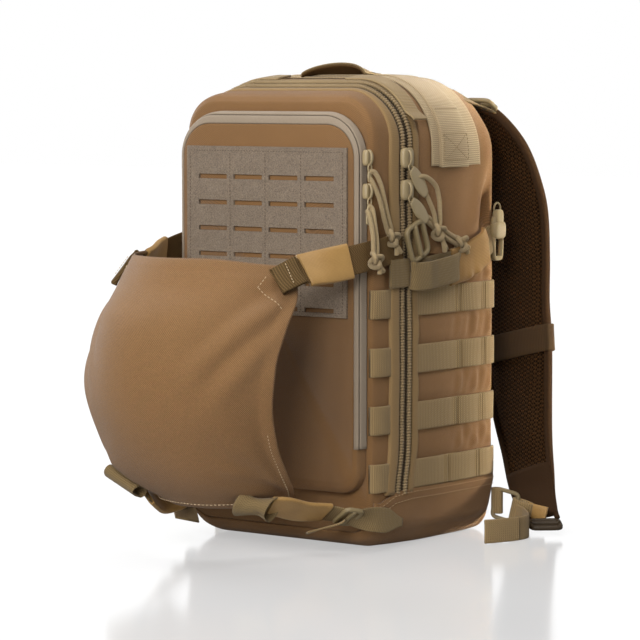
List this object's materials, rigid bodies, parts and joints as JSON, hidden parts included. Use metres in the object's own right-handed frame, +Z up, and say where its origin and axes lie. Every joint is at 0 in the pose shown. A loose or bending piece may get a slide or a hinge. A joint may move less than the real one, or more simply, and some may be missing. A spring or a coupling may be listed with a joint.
{
  "type": "tactical backpack",
  "caption": "Upright assault pack with clamshell main compartment, zipped front pocket, webbing rows, padded shoulder straps and a domed front carrier flap held by straps.",
  "frame": {"origin": "middle of the flat base, on the floor that the pack stands on", "axes": "+Z up, -Y out of the front where the carrier flap is, +Y to the wearer's back, +X to the side with the zipper pulls"},
  "size_m": [0.3668, 0.4699, 0.4294],
  "materials": {
    "body_fabric": "woven coated nylon, coyote brown",
    "dark_fabric": "woven nylon and elastic, brown",
    "webbing": "flat woven webbing, khaki tan",
    "loop_fabric": "brushed loop fabric, taupe",
    "zipper": "coil zipper on woven tape",
    "zipper_tape": "reversed coil zipper tape, light taupe",
    "strap_mesh": "padded strap faced with spacer mesh",
    "plastic": "moulded plastic, tan",
    "slider": "painted metal slider and pull plate",
    "cord": "braided cord"
  },
  "bodies": {
    "root": {"rear_shell": "body_fabric", "front_shell": "body_fabric", "base_panel": "body_fabric", "front_pocket": "body_fabric", "carrier_flap": "body_fabric", "back_panel": "dark_fabric", "keeper_band_right": "dark_fabric", "keeper_band_left": "dark_fabric", "grab_handle": "webbing", "top_band": "webbing", "corner_strap_right": "webbing", "corner_strap_left": "webbing", "side_row_1_right": "webbing", "side_row_1_left": "webbing", "side_row_2_right": "webbing", "side_row_2_left": "webbing", "side_row_3_right": "webbing", "side_row_3_left": "webbing", "side_row_4_right": "webbing", "side_row_4_left": "webbing", "gusset_rows_right": "webbing", "gusset_rows_left": "webbing", "side_strap_right": "webbing", "side_strap_left": "webbing", "flap_loop_upper_right": "webbing", "flap_loop_upper_left": "webbing", "flap_loop_lower_right": "webbing", "flap_loop_lower_left": "webbing", "upper_strap_right": "webbing", "upper_strap_left": "webbing", "lower_strap_right": "webbing", "lower_strap_left": "webbing", "load_lifter_right": "webbing", "load_lifter_left": "webbing", "lower_webbing_right": "webbing", "lower_webbing_left": "webbing", "loop_panel": "loop_fabric", "main_zipper": "zipper", "pocket_zipper": "zipper_tape", "shoulder_strap_right": "strap_mesh", "shoulder_strap_left": "strap_mesh", "side_buckle_right": "plastic", "side_buckle_left": "plastic", "ladder_lock_right": "plastic", "ladder_lock_left": "plastic", "lower_buckle_right": "plastic", "lower_buckle_left": "plastic", "lifter_buckle_right": "plastic", "lifter_buckle_left": "plastic", "strap_lock_right": "plastic", "strap_lock_left": "plastic", "main_slider_upper": "slider", "main_slider_lower": "slider", "pocket_slider_upper": "slider", "pocket_slider_lower": "slider", "main_cord_upper": "cord", "main_cord_lower": "cord", "pocket_cord_upper": "cord", "pocket_cord_lower": "cord"}
  },
  "joints": []
}
